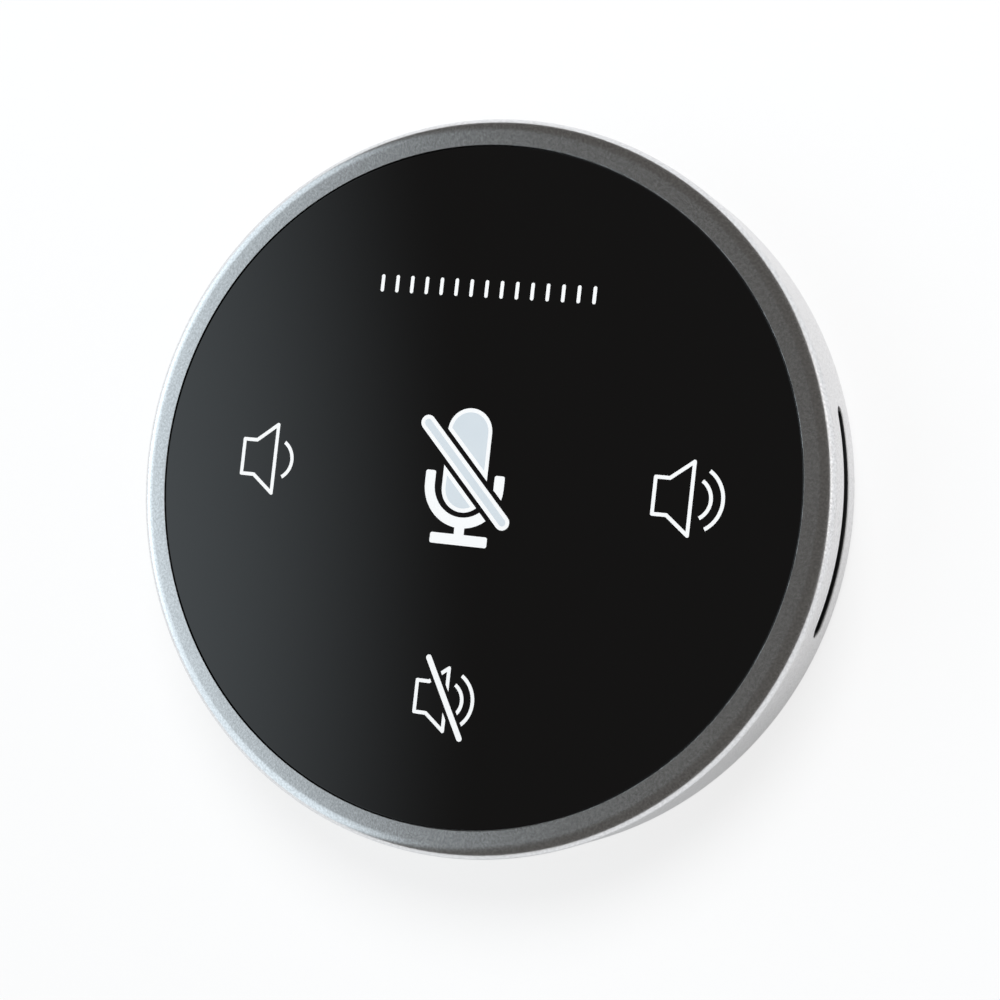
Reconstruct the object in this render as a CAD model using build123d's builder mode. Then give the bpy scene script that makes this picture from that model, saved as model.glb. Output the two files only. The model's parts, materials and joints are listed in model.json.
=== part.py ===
from build123d import *
from math import atan2, degrees, hypot
import os

# Desktop microphone: a flat round puck with a touch panel, a sound slot in each side and a USB-C
# socket at the back. Millimetres, +Z up, +Y towards the top of the panel, origin at the centre of
# the footprint on the table.

# --- Overall sizes ---
overall_diameter = 100.0
overall_height = 14.6
foot_stand = 1.4  # the rubber foot holds the housing this far off the table

# --- Housing ring ---
rim_width = 3.9  # from the glass pocket to the outside
rim_edge_radius = 2.0
base_edge_radius = 0.4
pocket_edge = 0.03
wall = 2.0
cover_rebate = 0.3
ledge_width = 3.6
ledge_thickness = 1.8
boss_radius = 3.0
boss_inset = 2.6  # from the wall's inner face to the boss's axis
boss_clearance = 0.2
boss_count = 4
slot_length = 30.0
slot_height = 3.2
slot_edge = 0.1
liner_gap = 0.05
liner_thickness = 0.45
liner_recess = 0.12  # the liner's front lies this far inside the wall's outer face

# --- Glass, print and tape ---
glass_thickness = 1.1
glass_recess = 0.15
glass_side_gap = 0.1
glass_edge = 0.15
print_thickness = 0.05
print_margin = 0.3
tape_thickness = 0.15
tape_margin = 0.3
film_thickness = 0.1
film_tail_width = 8.0
film_tail_gap = 0.5
film_tail_turn = -45.0

# --- Marks on the panel ---
key_inset = 15.0  # from the edge of the glass to the middle of a volume key
mute_key_inset = 17.0
mic_height = 1.0
key_lift = 1.0  # the volume keys sit this far above the middle of the panel
scale_inset = 19.5
scale_ticks = 15
scale_pitch = 2.2
scale_tick_length = 2.4
mark_line = 0.5
speaker_length = 5.0
speaker_shoulder = 3.07
speaker_half_back = 2.42
speaker_half_mouth = 4.8
arc_middle = -0.2
arc_half_angle = 58.0
quiet_arcs = (2.85,)
loud_arcs = (2.85, 4.45)
mute_arcs = (2.85, 4.6)
quiet_shift = 2.1  # the middle of each key lies this far from its speaker's mouth line
loud_shift = 0.45
mute_shift = (0.7, 0.1)
mute_scale = 0.88
mute_slash = ((-3.1, 5.3), (2.5, -4.9))
mute_slash_width = 0.8
mute_slash_gap = 0.5
mic_line = 1.45
mic_middle = -0.1
pill_width = 6.4
pill_top = 7.1
pill_bottom = -0.6
yoke_radius = 5.0
yoke_height = -0.2
yoke_top = 1.55
mic_foot = -7.5
mic_foot_half = 4.15
mic_slash = ((-6.3, 7.9), (5.9, -4.6))
mic_slash_width = 2.1
mic_slash_gap = 0.65

# --- Light baffle and touch board ---
baffle_thickness = 2.4
baffle_gap = 0.3
diffuser_thickness = 1.2
diffuser_gap = 0.2
well_corner = 1.0
touch_board_thickness = 1.0
touch_board_gap = 0.5
touch_screw_inset = 6.0
touch_screw_turn = 20.0  # between a boss and the next screw of the touch board
touch_screw_length = 2.5
led_length = 2.0
led_width = 1.25
led_height = 0.7
touch_chip_size = 5.0
touch_chip_height = 0.9

# --- Main board and what it carries ---
board_thickness = 1.2
board_gap = 0.9
notch_gap = 0.4
standoff_height = 1.6
standoff_radius = 2.4
standoff_reach = 28.0
usb_width = 8.94
usb_height = 3.16
usb_length = 7.35
usb_wall = 0.3
usb_setback = 0.8
usb_opening_gap = 0.3
usb_headroom = 0.2
tongue_width = 6.7
tongue_thickness = 0.7
tongue_length = 4.4
usb_back_length = 2.0
contact_count = 12
contact_pitch = 0.5
contact_width = 0.25
contact_length = 3.4
contact_thickness = 0.05
audio_chip_size = 7.0
audio_chip_height = 1.2
audio_chip_place = (14.0, 12.0)
regulator_place = (12.0, 30.0)
regulator_size = (6.5, 3.5, 1.5)
crystal_place = (24.0, 12.0)
crystal_size = (3.2, 2.5, 0.7)
capacitor_size = (2.0, 1.25, 1.2)
capacitor_places = ((9.0, 22.0), (14.0, 2.0))
capacitor_pitch = (4.0, 3.0)
capacitor_rows = (3, 2)
resistor_size = (1.6, 0.8, 0.5)
resistor_places = ((-4.0, 12.0), (-4.0, 24.0))
resistor_pitch = (3.2, 2.2)
resistor_rows = (3, 4)
chip_foot = 0.9
chip_foot_width = 0.25
chip_foot_thickness = 0.15
chip_foot_pitch = 0.5
chip_foot_count = 11
header_place = -15.0
header_pin_count = 6
header_pitch = 2.54
header_width = 2.5
header_share = 0.6  # of the gap between the boards, the rest is the socket
pin_radius = 0.32
pin_hole_radius = 0.5
pin_tail = 0.6

# --- Microphone capsules ---
capsule_radius = 3.0
capsule_length = 2.7
capsule_port_radius = 1.0
capsule_port_depth = 0.3
capsule_gap = 0.05
lead_radius = 0.25
lead_spacing = 2.54
lead_run = 2.0
lead_bend = 0.35
lead_tail = 0.5
boot_width = 10.0
boot_depth = 4.7
boot_headroom = 0.3
boot_front_gap = 0.15
boot_tunnel_radius = 1.6
screen_thickness = 0.3
screen_gap = 0.05
screen_margin = 1.2

# --- Cover, foot and fasteners ---
cover_thickness = 1.4
cover_gap = 0.1
label_length = 30.0
label_width = 16.0
label_depth = 0.2
label_corner = 2.0
foot_width = 6.0
foot_groove_depth = 0.5
foot_gap = 0.1
foot_edge = 0.5
foot_inset = 6.6
screw_radius = 1.25
screw_length = 6.0
screw_head_radius = 2.35
screw_head_height = 1.1
board_screw_radius = 1.0
board_screw_head_radius = 1.9
board_screw_head_height = 1.1
board_screw_grip = 1.9
touch_screw_radius = 0.8
touch_screw_head_radius = 1.5
touch_screw_head_height = 0.9
thread_gap = 0.05
screw_seat_gap = 0.1
hole_extra_depth = 0.5
recess_width = 0.45
recess_share = 0.7  # of the head's radius, for each arm of the cross
recess_depth = 0.6

# --- Places worked out from the sizes above ---
outer_radius = overall_diameter / 2
inner_radius = outer_radius - wall
pocket_radius = outer_radius - rim_width
glass_radius = pocket_radius - glass_side_gap
ledge_radius = pocket_radius - ledge_width
housing_top = overall_height
housing_base = foot_stand
glass_top = housing_top - glass_recess
glass_base = glass_top - glass_thickness
print_base = glass_base - print_thickness
ledge_top = print_base - tape_thickness
ledge_base = ledge_top - ledge_thickness
film_base = print_base - film_thickness
baffle_base = film_base - baffle_thickness
touch_board_base = baffle_base - touch_board_thickness
cover_top = housing_base + cover_thickness
board_base = cover_top + standoff_height
board_top = board_base + board_thickness
slot_middle = (cover_top + ledge_base) / 2
boss_ring = inner_radius - boss_inset
boss_reach = boss_ring - boss_radius
boss_start = 180 / boss_count
touch_screw_start = boss_start - touch_screw_turn
baffle_radius = min(ledge_radius - baffle_gap, boss_reach - boss_clearance)
touch_board_radius = min(ledge_radius - touch_board_gap, boss_reach - boss_clearance)
touch_screw_ring = touch_board_radius - touch_screw_inset
board_radius = inner_radius - board_gap
usb_middle = board_top + usb_height / 2
usb_front = outer_radius - usb_setback
boot_front = inner_radius - screen_gap - screen_thickness - boot_front_gap
boot_back = boot_front - boot_depth
capsule_back = boot_back + capsule_gap
capsule_front = capsule_back + capsule_length
volume_reach = glass_radius - key_inset
mute_reach = glass_radius - mute_key_inset
scale_reach = glass_radius - scale_inset
sides = (("right", 1), ("left", -1))
standing = (Align.CENTER, Align.CENTER, Align.MIN)

# Light wells under the marks: middle in X and Y, size in X and Y, lamps in X and Y.
scale_well_length = scale_ticks * scale_pitch + scale_pitch
wells = (
    (0, mic_height, 17.6, 21.0, 2, 2),
    (volume_reach + 0.1, key_lift, 11.8, 12.0, 1, 2),
    (-volume_reach + 0.9, key_lift, 11.8, 12.0, 1, 2),
    (0, -mute_reach, 11.4, 13.0, 1, 2),
    (0, scale_reach, scale_well_length, 4.8, 5, 1),
)
lamp_spacing = 6.4

os.makedirs("parts", exist_ok=True)


def stroke(start, end, width):
    """Draws one straight stroke with round ends into the open sketch."""
    run = Vector(*end) - Vector(*start)
    with Locations((Vector(*start) + Vector(*end)) * 0.5):
        SlotCenterToCenter(run.length, width, rotation=degrees(atan2(run.Y, run.X)))


def bar(start, end, width):
    """Draws one straight stroke with square ends into the open sketch."""
    run = Vector(*end) - Vector(*start)
    with Locations((Vector(*start) + Vector(*end)) * 0.5):
        Rectangle(run.length, width, rotation=degrees(atan2(run.Y, run.X)))


def speaker(scale, arc_radii):
    """Draws a speaker outline with sound arcs, its mouth line centred on the open location."""
    outline = (
        (-speaker_length * scale, speaker_half_back * scale),
        (-speaker_shoulder * scale, speaker_half_back * scale),
        (0, speaker_half_mouth * scale),
        (0, -speaker_half_mouth * scale),
        (-speaker_shoulder * scale, -speaker_half_back * scale),
        (-speaker_length * scale, -speaker_half_back * scale),
    )
    for start, end in zip(outline, outline[1:] + outline[:1]):
        stroke(start, end, mark_line)
    for radius in arc_radii:
        arc = CenterArc(
            (arc_middle, 0), radius * scale, -arc_half_angle, 2 * arc_half_angle, mode=Mode.PRIVATE
        )
        SlotArc(arc, mark_line)


def slash(start, end, width, gap):
    """Cuts a clear band through the marks and lays a slanting bar in its middle."""
    run = Vector(*end) - Vector(*start)
    with Locations((Vector(*start) + Vector(*end)) * 0.5):
        turn = degrees(atan2(run.Y, run.X))
        SlotCenterToCenter(run.length, width + 2 * gap, rotation=turn, mode=Mode.SUBTRACT)
        SlotCenterToCenter(run.length, width, rotation=turn)


def microphone():
    """Draws a pill on a yoke, a stem and a foot, struck through, on the open location."""
    stroke((mic_middle, pill_top), (mic_middle, pill_bottom), pill_width)
    yoke = CenterArc((mic_middle, yoke_height), yoke_radius, 180, 180, mode=Mode.PRIVATE)
    SlotArc(yoke, mic_line)
    for leg in (mic_middle - yoke_radius, mic_middle + yoke_radius):
        bar((leg, yoke_height), (leg, yoke_top), mic_line)
    bar((mic_middle, yoke_height - yoke_radius), (mic_middle, mic_foot), mic_line)
    bar((mic_middle - mic_foot_half, mic_foot), (mic_middle + mic_foot_half, mic_foot), mic_line)
    slash(*mic_slash, mic_slash_width, mic_slash_gap)


# The white marks: volume keys left and right, speaker mute below, microphone mute in the middle and
# a plain level scale above.
with BuildSketch(Plane.XY.offset(print_base)) as marks:
    microphone()
    with Locations((-volume_reach + quiet_shift, key_lift)):
        speaker(1.0, quiet_arcs)
    with Locations((volume_reach + loud_shift, key_lift)):
        speaker(1.0, loud_arcs)
with BuildSketch(Plane.XY.offset(print_base)) as mute_mark:
    with Locations((mute_shift[0], -mute_reach + mute_shift[1])):
        speaker(mute_scale, mute_arcs)
        slash(*mute_slash, mute_slash_width, mute_slash_gap)
with BuildSketch(Plane.XY.offset(print_base)) as scale_mark:
    with GridLocations(scale_pitch, 0, scale_ticks, 1):
        with Locations((0, scale_reach)):
            SlotOverall(scale_tick_length, mark_line, rotation=90)


def mouth_edges(ring):
    """Returns the edges that the last cut left on the outside of the wall."""
    return ring.edges(Select.LAST).filter_by(
        lambda edge: abs(hypot((edge @ 0.5).X, (edge @ 0.5).Y) - outer_radius) < slot_edge
    )


# --- Housing ring: turned from one blank, with a ledge for the glass and bosses for the screws ---
with BuildPart() as housing_ring:
    with BuildSketch(Plane.XZ):
        with BuildLine():
            Polyline(
                (outer_radius, housing_base),
                (outer_radius, housing_top),
                (pocket_radius, housing_top),
                (pocket_radius, ledge_top),
                (ledge_radius, ledge_top),
                (ledge_radius, ledge_base),
                (inner_radius, ledge_base),
                (inner_radius, cover_top),
                (inner_radius + cover_rebate, cover_top),
                (inner_radius + cover_rebate, housing_base),
                close=True,
            )
        make_face()
    revolve(axis=Axis.Z)
    outside = housing_ring.edges().filter_by(GeomType.CIRCLE).group_by(SortBy.RADIUS)[-1]
    fillet(outside.sort_by(Axis.Z)[-1], rim_edge_radius)
    outside = housing_ring.edges().filter_by(GeomType.CIRCLE).group_by(SortBy.RADIUS)[-1]
    fillet(outside.sort_by(Axis.Z)[0], base_edge_radius)
    top_edges = housing_ring.edges().filter_by(GeomType.CIRCLE).group_by(Axis.Z)[-1]
    chamfer(top_edges.sort_by(SortBy.RADIUS)[0], pocket_edge)
    # Screw bosses, from the cover's seat up to the ledge
    with BuildSketch(Plane.XY.offset(cover_top)):
        with PolarLocations(boss_ring, boss_count, start_angle=boss_start):
            Circle(boss_radius)
    extrude(amount=ledge_base - cover_top)
    with BuildSketch(Plane.XY.offset(cover_top)):
        with PolarLocations(boss_ring, boss_count, start_angle=boss_start):
            Circle(screw_radius + thread_gap)
    extrude(amount=screw_length - cover_thickness + hole_extra_depth, mode=Mode.SUBTRACT)
    # The two long sound slots and the opening of the USB socket
    with BuildSketch(Plane.YZ):
        with Locations((0, slot_middle)):
            SlotOverall(slot_length, slot_height)
    extrude(amount=outer_radius, both=True, mode=Mode.SUBTRACT)
    chamfer(mouth_edges(housing_ring), slot_edge)
    with BuildSketch(Plane.XZ):
        with Locations((0, usb_middle)):
            SlotOverall(usb_width + 2 * usb_opening_gap, usb_height + 2 * usb_opening_gap)
    extrude(amount=-outer_radius, mode=Mode.SUBTRACT)
    chamfer(mouth_edges(housing_ring), slot_edge)
housing_ring.part.label = "housing_ring"
export_step(housing_ring.part, "parts/housing_ring.step")

# --- Cover glass: one unbroken disc ---
with BuildPart() as touch_glass:
    with BuildSketch(Plane.XY.offset(glass_base)):
        Circle(glass_radius)
    extrude(amount=glass_thickness)
    chamfer(touch_glass.edges().group_by(Axis.Z)[-1], glass_edge)
touch_glass.part.label = "touch_glass"
export_step(touch_glass.part, "parts/touch_glass.step")

# --- Black back print, open where the marks are ---
with BuildPart() as black_print:
    with BuildSketch(Plane.XY.offset(print_base)):
        Circle(glass_radius - print_margin)
        add(marks.sketch, mode=Mode.SUBTRACT)
        add(mute_mark.sketch, mode=Mode.SUBTRACT)
        add(scale_mark.sketch, mode=Mode.SUBTRACT)
    extrude(amount=print_thickness)
black_print.part.label = "black_print"
export_step(black_print.part, "parts/black_print.step")

# --- Tape that bonds the glass to the ledge ---
with BuildPart() as glass_tape:
    with BuildSketch(Plane.XY.offset(ledge_top)):
        Circle(glass_radius - print_margin - tape_margin)
        Circle(ledge_radius + tape_margin, mode=Mode.SUBTRACT)
    extrude(amount=tape_thickness)
glass_tape.part.label = "glass_tape"
export_step(glass_tape.part, "parts/glass_tape.step")

# --- Touch film: clear electrode sheet under the print, with a tail down to its board ---
tail_place = baffle_radius - film_tail_width
with BuildPart() as touch_film:
    with BuildSketch(Plane.XY.offset(film_base)):
        Circle(baffle_radius)
        for middle_x, middle_y, size_x, size_y, lamps_x, lamps_y in wells:
            with Locations((middle_x, middle_y)):
                RectangleRounded(size_x, size_y, well_corner, mode=Mode.SUBTRACT)
    extrude(amount=film_thickness)
    with BuildSketch(Plane.XY.offset(baffle_base)):
        with PolarLocations(tail_place, 1, start_angle=film_tail_turn):
            Rectangle(film_thickness, film_tail_width)
    extrude(amount=baffle_thickness)
touch_film.part.label = "touch_film"
export_step(touch_film.part, "parts/touch_film.step")

# The room that the USB socket keeps clear above itself, in a housing low enough to need it
with BuildPart() as usb_clearance:
    with BuildSketch(Plane.XZ.offset(-outer_radius)):
        with Locations((0, usb_middle)):
            SlotOverall(usb_width + 2 * usb_headroom, usb_height + 2 * usb_headroom)
    extrude(amount=outer_radius - usb_front + usb_length + usb_headroom)
usb_room = usb_clearance.part

# --- Light baffle: black plate that keeps the light of each mark apart ---
with BuildPart() as light_baffle:
    with BuildSketch(Plane.XY.offset(baffle_base)):
        Circle(baffle_radius)
        for middle_x, middle_y, size_x, size_y, lamps_x, lamps_y in wells:
            with Locations((middle_x, middle_y)):
                RectangleRounded(size_x, size_y, well_corner, mode=Mode.SUBTRACT)
        with PolarLocations(tail_place, 1, start_angle=film_tail_turn):
            Rectangle(
                film_thickness + 2 * film_tail_gap,
                film_tail_width + 2 * film_tail_gap,
                mode=Mode.SUBTRACT,
            )
    extrude(amount=baffle_thickness)
    with BuildSketch(Plane.XY.offset(baffle_base)):
        with PolarLocations(touch_screw_ring, boss_count, start_angle=touch_screw_start):
            Circle(touch_screw_radius + thread_gap)
    extrude(amount=touch_screw_length - touch_board_thickness + thread_gap, mode=Mode.SUBTRACT)
    add(usb_room, mode=Mode.SUBTRACT)
light_baffle.part.label = "light_baffle"
export_step(light_baffle.part, "parts/light_baffle.step")

# --- Milky diffusers at the top of the wells ---
with BuildPart() as icon_diffusers:
    with BuildSketch(Plane.XY.offset(print_base - diffuser_thickness)):
        for middle_x, middle_y, size_x, size_y, lamps_x, lamps_y in wells:
            with Locations((middle_x, middle_y)):
                RectangleRounded(size_x - 2 * diffuser_gap, size_y - 2 * diffuser_gap, well_corner)
    extrude(amount=diffuser_thickness)
icon_diffusers.part.label = "icon_diffusers"
export_step(icon_diffusers.part, "parts/icon_diffusers.step")

# --- Touch board, its lamps, its chip and its screws ---
with BuildPart() as touch_board:
    with BuildSketch(Plane.XY.offset(touch_board_base)):
        Circle(touch_board_radius)
        with PolarLocations(touch_screw_ring, boss_count, start_angle=touch_screw_start):
            Circle(touch_screw_radius + screw_seat_gap, mode=Mode.SUBTRACT)
        with Locations((header_place, 0)):
            with GridLocations(0, header_pitch, 1, header_pin_count):
                Circle(pin_hole_radius, mode=Mode.SUBTRACT)
    extrude(amount=touch_board_thickness)
    add(usb_room, mode=Mode.SUBTRACT)
touch_board.part.label = "touch_board"
export_step(touch_board.part, "parts/touch_board.step")

with BuildPart() as icon_leds:
    with BuildSketch(Plane.XY.offset(baffle_base)):
        for middle_x, middle_y, size_x, size_y, lamps_x, lamps_y in wells:
            with Locations((middle_x, middle_y)):
                with GridLocations(lamp_spacing, lamp_spacing, lamps_x, lamps_y):
                    Rectangle(led_length, led_width)
    extrude(amount=led_height)
icon_leds.part.label = "icon_leds"
export_step(icon_leds.part, "parts/icon_leds.step")

with BuildPart() as touch_chip:
    with BuildSketch(Plane.XY.offset(touch_board_base - touch_chip_height)):
        Rectangle(touch_chip_size, touch_chip_size)
    extrude(amount=touch_chip_height)
touch_chip.part.label = "touch_chip"
export_step(touch_chip.part, "parts/touch_chip.step")


def cross(head_radius):
    """Draws the cross recess of a screw head into the open sketch."""
    Rectangle(2 * recess_share * head_radius, recess_width)
    Rectangle(recess_width, 2 * recess_share * head_radius)


def pan_screw(head_seat, shank_end, head_tip, shank_radius, head_radius):
    """Returns one cross-recessed pan-head screw on the Z axis, its head towards head_tip."""
    inward = 1 if head_seat > head_tip else -1
    with BuildPart() as screw:
        with BuildSketch(Plane.XY.offset(head_seat)):
            Circle(shank_radius)
        extrude(amount=shank_end - head_seat)
        with BuildSketch(Plane.XY.offset(head_seat)):
            Circle(head_radius)
        extrude(amount=head_tip - head_seat)
        with BuildSketch(Plane.XY.offset(head_tip)):
            cross(head_radius)
        extrude(amount=inward * recess_depth, mode=Mode.SUBTRACT)
    return screw.part


touch_screw = pan_screw(
    touch_board_base,
    touch_board_base + touch_screw_length,
    touch_board_base - touch_screw_head_height,
    touch_screw_radius,
    touch_screw_head_radius,
)
with BuildPart() as touch_board_screws:
    with PolarLocations(touch_screw_ring, boss_count, start_angle=touch_screw_start):
        add(touch_screw)
touch_board_screws.part.label = "touch_board_screws"
export_step(touch_board_screws.part, "parts/touch_board_screws.step")

# --- Main board: round, notched round the bosses and the capsule boots ---
with BuildPart() as main_board:
    with BuildSketch(Plane.XY.offset(board_base)):
        Circle(board_radius)
        with PolarLocations(boss_ring, boss_count, start_angle=boss_start):
            Circle(boss_radius + notch_gap, mode=Mode.SUBTRACT)
        for side, sign in sides:
            with Locations((sign * (boot_back - notch_gap + wall + boot_depth), 0)):
                Rectangle(
                    2 * (wall + boot_depth), boot_width + 2 * notch_gap, mode=Mode.SUBTRACT
                )
            with Locations((sign * (capsule_back - lead_run), 0)):
                with GridLocations(0, lead_spacing, 1, 2):
                    Circle(lead_radius + screw_seat_gap, mode=Mode.SUBTRACT)
        with PolarLocations(standoff_reach, boss_count, start_angle=boss_start):
            Circle(board_screw_radius + screw_seat_gap, mode=Mode.SUBTRACT)
        with Locations((header_place, 0)):
            with GridLocations(0, header_pitch, 1, header_pin_count):
                Circle(pin_hole_radius, mode=Mode.SUBTRACT)
    extrude(amount=board_thickness)
main_board.part.label = "main_board"
export_step(main_board.part, "parts/main_board.step")

# --- Pin header and socket between the boards ---
header_top = board_top + header_share * (touch_board_base - board_top)
with BuildPart() as header_body:
    with BuildSketch(Plane.XY.offset(board_top)):
        with Locations((header_place, 0)):
            Rectangle(header_width, header_pin_count * header_pitch)
            with GridLocations(0, header_pitch, 1, header_pin_count):
                Circle(pin_hole_radius, mode=Mode.SUBTRACT)
    extrude(amount=header_top - board_top)
header_body.part.label = "header_body"
export_step(header_body.part, "parts/header_body.step")

with BuildPart() as header_socket:
    with BuildSketch(Plane.XY.offset(header_top)):
        with Locations((header_place, 0)):
            Rectangle(header_width, header_pin_count * header_pitch)
            with GridLocations(0, header_pitch, 1, header_pin_count):
                Circle(pin_hole_radius, mode=Mode.SUBTRACT)
    extrude(amount=touch_board_base - header_top)
header_socket.part.label = "header_socket"
export_step(header_socket.part, "parts/header_socket.step")

with BuildPart() as header_pins:
    with BuildSketch(Plane.XY.offset(board_base - pin_tail)):
        with Locations((header_place, 0)):
            with GridLocations(0, header_pitch, 1, header_pin_count):
                Circle(pin_radius)
    extrude(amount=baffle_base - board_base + pin_tail)
header_pins.part.label = "header_pins"
export_step(header_pins.part, "parts/header_pins.step")

# --- USB-C socket: steel shell, plastic insert with its tongue, gold contacts ---
with BuildPart() as usb_shell:
    with BuildSketch(Plane.XZ.offset(-usb_front)):
        with Locations((0, usb_middle)):
            SlotOverall(usb_width, usb_height)
            SlotOverall(usb_width - 2 * usb_wall, usb_height - 2 * usb_wall, mode=Mode.SUBTRACT)
    extrude(amount=usb_length)
usb_shell.part.label = "usb_shell"
export_step(usb_shell.part, "parts/usb_shell.step")

usb_back = usb_front - usb_length
with BuildPart() as usb_insert:
    with BuildSketch(Plane.XZ.offset(-usb_back)):
        with Locations((0, usb_middle)):
            SlotOverall(usb_width - 2 * usb_wall, usb_height - 2 * usb_wall)
    extrude(amount=-usb_back_length)
    with BuildSketch(Plane.XZ.offset(-usb_back - usb_back_length)):
        with Locations((0, usb_middle)):
            Rectangle(tongue_width, tongue_thickness)
    extrude(amount=-tongue_length)
usb_insert.part.label = "usb_insert"
export_step(usb_insert.part, "parts/usb_insert.step")

with BuildPart() as usb_contacts:
    for height in (
        usb_middle + tongue_thickness / 2,
        usb_middle - tongue_thickness / 2 - contact_thickness,
    ):
        with BuildSketch(Plane.XY.offset(height)):
            with Locations((0, usb_back + usb_back_length + contact_length / 2)):
                with GridLocations(contact_pitch, 0, contact_count, 1):
                    Rectangle(contact_width, contact_length)
        extrude(amount=contact_thickness)
usb_contacts.part.label = "usb_contacts"
export_step(usb_contacts.part, "parts/usb_contacts.step")

# --- Parts soldered on the main board ---
with BuildPart() as audio_chip:
    with BuildSketch(Plane.XY.offset(board_top)):
        with Locations(audio_chip_place):
            Rectangle(audio_chip_size, audio_chip_size)
    extrude(amount=audio_chip_height)
    with BuildSketch(Plane.XY.offset(board_top)):
        with Locations(audio_chip_place):
            with GridLocations(chip_foot_pitch, audio_chip_size + chip_foot, chip_foot_count, 2):
                Rectangle(chip_foot_width, chip_foot)
            with GridLocations(audio_chip_size + chip_foot, chip_foot_pitch, 2, chip_foot_count):
                Rectangle(chip_foot, chip_foot_width)
    extrude(amount=chip_foot_thickness)
audio_chip.part.label = "audio_chip"
export_step(audio_chip.part, "parts/audio_chip.step")

with BuildPart() as voltage_regulator:
    with BuildSketch(Plane.XY.offset(board_top)):
        with Locations(regulator_place):
            Rectangle(regulator_size[0], regulator_size[1])
    extrude(amount=regulator_size[2])
voltage_regulator.part.label = "voltage_regulator"
export_step(voltage_regulator.part, "parts/voltage_regulator.step")

with BuildPart() as crystal:
    with BuildSketch(Plane.XY.offset(board_top)):
        with Locations(crystal_place):
            RectangleRounded(crystal_size[0], crystal_size[1], crystal_size[2] / 2)
    extrude(amount=crystal_size[2])
crystal.part.label = "crystal"
export_step(crystal.part, "parts/crystal.step")

with BuildPart() as chip_capacitors:
    with BuildSketch(Plane.XY.offset(board_top)):
        with Locations(*capacitor_places):
            with GridLocations(*capacitor_pitch, *capacitor_rows):
                Rectangle(capacitor_size[0], capacitor_size[1])
    extrude(amount=capacitor_size[2])
chip_capacitors.part.label = "chip_capacitors"
export_step(chip_capacitors.part, "parts/chip_capacitors.step")

with BuildPart() as chip_resistors:
    with BuildSketch(Plane.XY.offset(board_top)):
        with Locations(*resistor_places):
            with GridLocations(*resistor_pitch, *resistor_rows):
                Rectangle(resistor_size[0], resistor_size[1])
    extrude(amount=resistor_size[2])
chip_resistors.part.label = "chip_resistors"
export_step(chip_resistors.part, "parts/chip_resistors.step")

# --- In each slot a black liner; behind it a steel screen, a rubber boot and a capsule ---
for side, sign in sides:
    with BuildPart() as slot_liner:
        with BuildSketch(Plane.YZ):
            with Locations((0, slot_middle)):
                SlotOverall(slot_length - 2 * liner_gap, slot_height - 2 * liner_gap)
                SlotOverall(
                    slot_length - 2 * liner_gap - 2 * liner_thickness,
                    slot_height - 2 * liner_gap - 2 * liner_thickness,
                    mode=Mode.SUBTRACT,
                )
        extrude(amount=sign * outer_radius)
        Cylinder(
            outer_radius - liner_recess, housing_top, align=standing, mode=Mode.INTERSECT
        )
        Cylinder(inner_radius, housing_top, align=standing, mode=Mode.SUBTRACT)
    slot_liner.part.label = f"slot_liner_{side}"
    export_step(slot_liner.part, f"parts/slot_liner_{side}.step")

    with BuildPart() as acoustic_mesh:
        with BuildSketch(Plane.XY.offset(slot_middle - slot_height / 2 - screen_margin)):
            Circle(inner_radius - screen_gap)
            Circle(inner_radius - screen_gap - screen_thickness, mode=Mode.SUBTRACT)
            with Locations((sign * inner_radius, 0)):
                Rectangle(
                    inner_radius, slot_length + 2 * screen_margin, mode=Mode.INTERSECT
                )
        extrude(amount=slot_height + 2 * screen_margin)
    acoustic_mesh.part.label = f"acoustic_mesh_{side}"
    export_step(acoustic_mesh.part, f"parts/acoustic_mesh_{side}.step")

    with BuildPart() as mic_boot:
        with BuildSketch(Plane.XY.offset(cover_top)):
            Circle(boot_front)
            with Locations((sign * (boot_back + inner_radius / 2), 0)):
                Rectangle(inner_radius, boot_width, mode=Mode.INTERSECT)
        extrude(amount=ledge_base - boot_headroom - cover_top)
        with BuildSketch(Plane.YZ.offset(sign * boot_back)):
            with Locations((0, slot_middle)):
                Circle(capsule_radius + capsule_gap)
        extrude(amount=sign * (capsule_front - boot_back + capsule_gap), mode=Mode.SUBTRACT)
        with BuildSketch(Plane.YZ.offset(sign * boot_back)):
            with Locations((0, slot_middle)):
                Circle(boot_tunnel_radius)
        extrude(amount=sign * (boot_front - boot_back), mode=Mode.SUBTRACT)
    mic_boot.part.label = f"mic_boot_{side}"
    export_step(mic_boot.part, f"parts/mic_boot_{side}.step")

    with BuildPart() as mic_capsule:
        with BuildSketch(Plane.YZ.offset(sign * capsule_back)):
            with Locations((0, slot_middle)):
                Circle(capsule_radius)
        extrude(amount=sign * capsule_length)
        with BuildSketch(Plane.YZ.offset(sign * capsule_front)):
            with Locations((0, slot_middle)):
                Circle(capsule_port_radius)
        extrude(amount=-sign * capsule_port_depth, mode=Mode.SUBTRACT)
    mic_capsule.part.label = f"mic_capsule_{side}"
    export_step(mic_capsule.part, f"parts/mic_capsule_{side}.step")

# Two stiff leads from the back of each capsule, bent down through the main board
with BuildPart() as capsule_leads:
    for side, sign in sides:
        for lead_y in (-lead_spacing / 2, lead_spacing / 2):
            with BuildLine() as lead_route:
                FilletPolyline(
                    (sign * capsule_back, lead_y, slot_middle),
                    (sign * (capsule_back - lead_run), lead_y, slot_middle),
                    (sign * (capsule_back - lead_run), lead_y, board_base - lead_tail),
                    radius=lead_bend,
                )
            with BuildSketch(Plane.YZ.offset(sign * capsule_back)):
                with Locations((lead_y, slot_middle)):
                    Circle(lead_radius)
            sweep(path=lead_route.wire())
capsule_leads.part.label = "capsule_leads"
export_step(capsule_leads.part, "parts/capsule_leads.step")

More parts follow.
